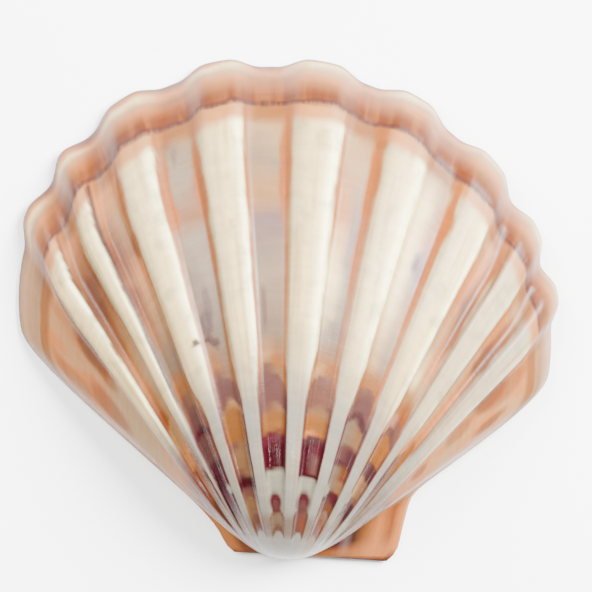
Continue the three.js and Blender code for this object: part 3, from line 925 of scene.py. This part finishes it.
# Surface: noise scales, the thin lines, the growth line and lip, gloss and relief.
MOTTLE_SCALE = 420.0  # cells per metre
STREAK_SCALE = (1.4, 5.0)  # cells per degree round the fan and per unit of growth
RING_SCALE = (0.12, 60.0)
LINE_WIDTHS = (0.006, 0.014)  # growth on each side of the main growth line
LINE_CORE = 0.0015  # growth over which the line is at its darkest
LINE_RIGHT_END = (40.0, 48.0)  # degrees
LINE_LEFT_END = (142.0, 133.0)
BORDER_FADE = (0.44, 0.54)  # growths over which the thin lines along the ribs come in
LIP_FROM = 0.9  # share of the way from the growth line to the rim
LIP_STRENGTH = 0.8
RING_SHADES = (0.93, 1.07)
SPECULAR = 0.25
ROUGHNESS = (0.18, 0.36)  # near the beak, and on the old part
MOTTLE_ROUGHNESS = 0.12
STREAK_RELIEF = 0.5
RING_RELIEF = 0.6
MOTTLE_RELIEF = 0.5
RELIEF_STRENGTH = 0.28
RELIEF_HEIGHT = 0.3 * MM


class Graph:
    """Shader nodes from short calls, so that the material below reads as arithmetic."""

    def __init__(self, tree):
        self.tree = tree

    def feed(self, socket, value):
        if isinstance(value, bpy.types.NodeSocket):
            self.tree.links.new(value, socket)
        else:
            socket.default_value = value

    def attribute(self, name, output="Fac"):
        node = self.tree.nodes.new("ShaderNodeAttribute")
        node.attribute_name = name
        return node.outputs[output]

    def math(self, operation, *values):
        node = self.tree.nodes.new("ShaderNodeMath")
        node.operation = operation
        for socket, value in zip(node.inputs, values):
            self.feed(socket, value)
        return node.outputs[0]

    def step(self, low, high, value, start=0.0, end=1.0):
        node = self.tree.nodes.new("ShaderNodeMapRange")
        node.interpolation_type = "SMOOTHSTEP"
        names = ("Value", "From Min", "From Max", "To Min", "To Max")
        for name, given in zip(names, (value, low, high, start, end)):
            self.feed(node.inputs[name], given)
        return node.outputs[0]

    def vector(self, x, y, z=0.0):
        node = self.tree.nodes.new("ShaderNodeCombineXYZ")
        for socket, value in zip(node.inputs, (x, y, z)):
            self.feed(socket, value)
        return node.outputs[0]

    def noise(self, vector, scale, detail, roughness):
        node = self.tree.nodes.new("ShaderNodeTexNoise")
        self.feed(node.inputs["Vector"], vector)
        node.inputs["Scale"].default_value = scale
        node.inputs["Detail"].default_value = detail
        node.inputs["Roughness"].default_value = roughness
        return node.outputs["Fac"]

    def mix(self, amount, first, second, blend_type="MIX"):
        node = self.tree.nodes.new("ShaderNodeMix")
        node.data_type = "RGBA"
        node.blend_type = blend_type
        sockets = {socket.identifier: socket for socket in node.inputs}
        self.feed(sockets["Factor_Float"], amount)
        self.feed(sockets["A_Color"], first)
        self.feed(sockets["B_Color"], second)
        return next(s for s in node.outputs if s.identifier == "Result_Color")

    def ramp(self, value, stops):
        node = self.tree.nodes.new("ShaderNodeValToRGB")
        elements = node.color_ramp.elements
        elements.remove(elements[-1])
        elements[0].position, elements[0].color = stops[0]
        for position, colour in stops[1:]:
            elements.new(position).color = colour
        self.feed(node.inputs["Fac"], value)
        return node


def with_alpha(paint, alpha):
    return tuple(float(v) for v in paint) + (alpha,)


class ShellFields:
    """The mesh's shell coordinates and the noises that follow them, as shader sockets."""

    def __init__(self, graph, place):
        self.growth = graph.attribute("growth")
        self.around = graph.attribute("around")
        self.past_line = graph.attribute("past_line")
        self.rimward = graph.attribute("rimward")
        self.inside = graph.attribute("inside")
        self.pigment = graph.attribute("pigment", "Color")
        self.mottle = graph.noise(place, MOTTLE_SCALE, 4.0, 0.6)
        self.streaks = self.shell_noise(graph, STREAK_SCALE, 4.0, 0.65)
        self.rings = self.shell_noise(graph, RING_SCALE, 3.0, 0.6)

    def shell_noise(self, graph, scale, detail, roughness):
        around = graph.math("MULTIPLY", self.around, scale[0])
        growth = graph.math("MULTIPLY", self.growth, scale[1])
        return graph.noise(graph.vector(around, growth), 1.0, detail, roughness)


def border_lines(graph, fields, colour):
    """Thin lines along the rib borders, from two ramps over the angle."""
    grown = graph.step(*BORDER_FADE, fields.growth)
    present = graph.math("MULTIPLY", grown, graph.step(0.25, 0.6, fields.streaks, 0.55, 1.0))
    half_turn = graph.math("DIVIDE", fields.around, 180.0)
    for lines in (BORDERS[:len(BORDERS) // 2], BORDERS[len(BORDERS) // 2:]):
        stops = [(0.0, (1, 1, 1, 0))]
        for angle, half, strength, paint in reversed(lines):
            stops.append(((angle - 2 * half) / 180, with_alpha(paint, 0.0)))
            stops.append((angle / 180, with_alpha(paint, strength)))
            stops.append(((angle + 2 * half) / 180, with_alpha(paint, 0.0)))
        ramp = graph.ramp(half_turn, stops)
        mask = graph.math("MULTIPLY", graph.step(0.1, 0.7, ramp.outputs["Alpha"]), present)
        colour = graph.mix(mask, colour, ramp.outputs["Color"])
    return colour


def growth_line(graph, fields):
    """Mask of the dark main growth line, partly its own dark colour and partly painted shade of its
    groove. It crosses the fan and varies in width and strength.
    """
    width = graph.step(0.3, 0.7, fields.rings, *LINE_WIDTHS)
    away = graph.math("ABSOLUTE", fields.past_line)
    dark = graph.step(width, LINE_CORE, graph.math("ADD", away, fields.inside))
    dark = graph.math("MULTIPLY", dark, graph.step(0.25, 0.65, fields.streaks, 0.35, 0.9))
    right_end = graph.step(*LINE_RIGHT_END, fields.around)
    left_end = graph.step(*LINE_LEFT_END, fields.around)
    return graph.math("MULTIPLY", dark, graph.math("MULTIPLY", right_end, left_end))


def shell_colour(graph, fields):
    """The painted colour under the thin lines, the growth line, the lip and the growth rings."""
    before_line = graph.step(-0.002, -0.012, fields.past_line)
    outside_only = graph.math("SUBTRACT", 1.0, fields.inside)
    lined = border_lines(graph, fields, fields.pigment)
    where = graph.math("MULTIPLY", before_line, outside_only)
    colour = graph.mix(where, fields.pigment, lined)
    # The growth line: partly its own dark colour, partly painted shade of the groove at the growth
    # stop.
    colour = graph.mix(growth_line(graph, fields), colour, with_alpha(DUSK, 1.0))
    lip = graph.step(LIP_FROM, 1.0, fields.rimward, 0.0, LIP_STRENGTH)
    colour = graph.mix(lip, colour, with_alpha(MAUVE, 1.0))
    shade = graph.step(0.3, 0.75, fields.rings, *RING_SHADES)
    return graph.mix(1.0, colour, graph.vector(shade, shade, shade), "MULTIPLY")


def shell_roughness(graph, fields):
    """Glossy near the beak, duller with growth and in the mottle."""
    aged = graph.step(0.3, 0.6, fields.growth, *ROUGHNESS)
    return graph.math("ADD", aged, graph.step(0.3, 0.8, fields.mottle, 0.0, MOTTLE_ROUGHNESS))


def shell_relief(graph, fields):
    height = graph.math("MULTIPLY", fields.streaks, STREAK_RELIEF)
    height = graph.math("MULTIPLY_ADD", fields.rings, RING_RELIEF, height)
    return graph.math("MULTIPLY_ADD", fields.mottle, MOTTLE_RELIEF, height)


def shell_material():
    material = bpy.data.materials.new("shell")
    material.use_nodes = True
    tree = material.node_tree
    shader = tree.nodes["Principled BSDF"]
    graph = Graph(tree)
    place = tree.nodes.new("ShaderNodeTexCoord").outputs["Object"]
    fields = ShellFields(graph, place)
    graph.feed(shader.inputs["Base Color"], shell_colour(graph, fields))
    shader.inputs["Specular IOR Level"].default_value = SPECULAR
    graph.feed(shader.inputs["Roughness"], shell_roughness(graph, fields))
    bump = tree.nodes.new("ShaderNodeBump")
    bump.inputs["Strength"].default_value = RELIEF_STRENGTH
    bump.inputs["Distance"].default_value = RELIEF_HEIGHT
    graph.feed(bump.inputs["Height"], shell_relief(graph, fields))
    graph.feed(shader.inputs["Normal"], bump.outputs["Normal"])
    return material


# Studio: a camera that looks straight down on a pale floor, under three round lights.
CAMERA_HEIGHT = 0.48
CAMERA_OFFSET = (0.00138, 0.00229)  # from the middle of the shell
CAMERA_ROLL = 0.061
PICTURE_WIDTH = 0.11065  # what the picture takes in at the height of the floor
SENSOR_WIDTH = 36  # millimetres, as Blender counts them
SKY_STRENGTH = 0.3
FLOOR_SIZE = 2
FLOOR_WHITE = (0.96, 0.96, 0.96, 1)
FLOOR_ROUGHNESS = 0.8
# Name, place, what it is aimed at, width, and power in watts.
LIGHTS = (
    ("key", (0.42, 0.3, 0.5), (0, 0, 0), 0.45, 45),
    ("fill", (-0.5, 0.3, 0.6), (0, 0, 0), 0.6, 23),
    ("glint", (0.06, -0.35, 0.6), (0, -0.03, 0), 0.04, 1.5),
)


def add_camera():
    data = bpy.data.cameras.new("camera")
    data.sensor_width = SENSOR_WIDTH
    data.lens = SENSOR_WIDTH * CAMERA_HEIGHT / PICTURE_WIDTH
    camera = bpy.data.objects.new("camera", data)
    middle = (cad_low + cad_high) / 2
    camera.location = (middle.x + CAMERA_OFFSET[0], middle.y + CAMERA_OFFSET[1], CAMERA_HEIGHT)
    camera.rotation_euler = (0, 0, CAMERA_ROLL)
    bpy.context.collection.objects.link(camera)
    bpy.context.scene.camera = camera


def add_world():
    world = bpy.data.worlds.new("studio")
    world.use_nodes = True
    background = world.node_tree.nodes["Background"]
    background.inputs["Color"].default_value = (1, 1, 1, 1)
    background.inputs["Strength"].default_value = SKY_STRENGTH
    bpy.context.scene.world = world


def add_floor():
    bpy.ops.mesh.primitive_plane_add(size=FLOOR_SIZE, location=(0, 0, 0))
    floor = bpy.context.object
    floor.name = "floor"
    material = bpy.data.materials.new("floor_white")
    material.use_nodes = True
    shader = material.node_tree.nodes["Principled BSDF"]
    shader.inputs["Base Color"].default_value = FLOOR_WHITE
    shader.inputs["Roughness"].default_value = FLOOR_ROUGHNESS
    floor.data.materials.append(material)


def area_light(name, location, target, size, power):
    light = bpy.data.lights.new(name, "AREA")
    light.shape = "DISK"
    light.size = size
    light.energy = power
    holder = bpy.data.objects.new(name, light)
    holder.location = location
    aim = Vector(target) - Vector(location)
    holder.rotation_mode = "QUATERNION"
    holder.rotation_quaternion = aim.to_track_quat("-Z", "Y")
    bpy.context.collection.objects.link(holder)


add_camera()
add_world()
add_floor()
for light in LIGHTS:
    area_light(*light)
piece = build_shell()
piece.data.materials.append(shell_material())
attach(piece, "root")
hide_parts("shell_valve")
